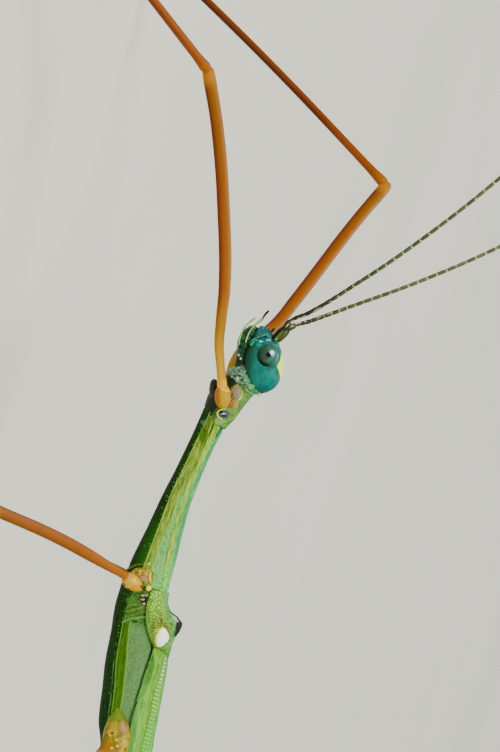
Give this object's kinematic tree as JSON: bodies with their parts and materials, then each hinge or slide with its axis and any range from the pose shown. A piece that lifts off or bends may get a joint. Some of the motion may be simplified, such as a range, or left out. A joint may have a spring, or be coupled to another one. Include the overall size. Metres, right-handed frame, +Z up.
{
  "type": "winged stick insect",
  "caption": "Slender green winged stick insect with teal head, orange legs and long feelers, standing still on flat feet.",
  "frame": {"origin": "centre of the box's base, on the floor under the insect", "axes": "+X along the body towards the head and the feeler tips, +Y towards the insect's left side, +Z up"},
  "size_m": [0.1184, 0.0654, 0.0484],
  "materials": {
    "eye": "glossy grey-green eye",
    "feeler": "dark brown ringed feeler",
    "foot": "brown foot",
    "head_shell": "teal cuticle, satin",
    "leg_root": "yellow-brown joint",
    "neck_skin": "wrinkled grey-green neck",
    "shin": "reddish-orange leg",
    "thigh": "orange-brown leg, yellower at its base",
    "trunk_shell": "green cuticle with cream and olive lines",
    "under_plate": "dark green plate",
    "wing": "pale green veined leathery wing",
    "wing_cover": "pale green granular wing cover with a white spot"
  },
  "bodies": {
    "root": {"abdomen_10": "trunk_shell", "abdomen_2": "trunk_shell", "abdomen_3": "trunk_shell", "abdomen_4": "trunk_shell", "abdomen_5": "trunk_shell", "abdomen_6": "trunk_shell", "abdomen_7": "trunk_shell", "abdomen_8": "trunk_shell", "abdomen_9": "trunk_shell", "antenna_left_base": "feeler", "antenna_left_middle": "feeler", "antenna_left_tip": "feeler", "antenna_right_base": "feeler", "antenna_right_middle": "feeler", "antenna_right_tip": "feeler", "cercus_left": "trunk_shell", "cercus_right": "trunk_shell", "eye_left": "eye", "eye_right": "eye", "fore_left_coxa": "leg_root", "fore_left_femur": "thigh", "fore_left_tarsus": "foot", "fore_left_tibia": "shin", "fore_right_coxa": "leg_root", "fore_right_femur": "thigh", "fore_right_tarsus": "foot", "fore_right_tibia": "shin", "head": "head_shell", "hind_left_coxa": "leg_root", "hind_left_femur": "thigh", "hind_left_tarsus": "foot", "hind_left_tibia": "shin", "hind_right_coxa": "leg_root", "hind_right_femur": "thigh", "hind_right_tarsus": "foot", "hind_right_tibia": "shin", "hindwing_left": "wing", "hindwing_right": "wing", "median_segment": "trunk_shell", "mesothorax": "trunk_shell", "metathorax": "trunk_shell", "mid_left_coxa": "leg_root", "mid_left_femur": "thigh", "mid_left_tarsus": "foot", "mid_left_tibia": "shin", "mid_right_coxa": "leg_root", "mid_right_femur": "thigh", "mid_right_tarsus": "foot", "mid_right_tibia": "shin", "mouthparts": "head_shell", "neck": "neck_skin", "operculum": "under_plate", "palp_left": "feeler", "palp_right": "feeler", "prothorax": "trunk_shell", "tegmen_left": "wing_cover", "tegmen_right": "wing_cover"}
  },
  "joints": []
}
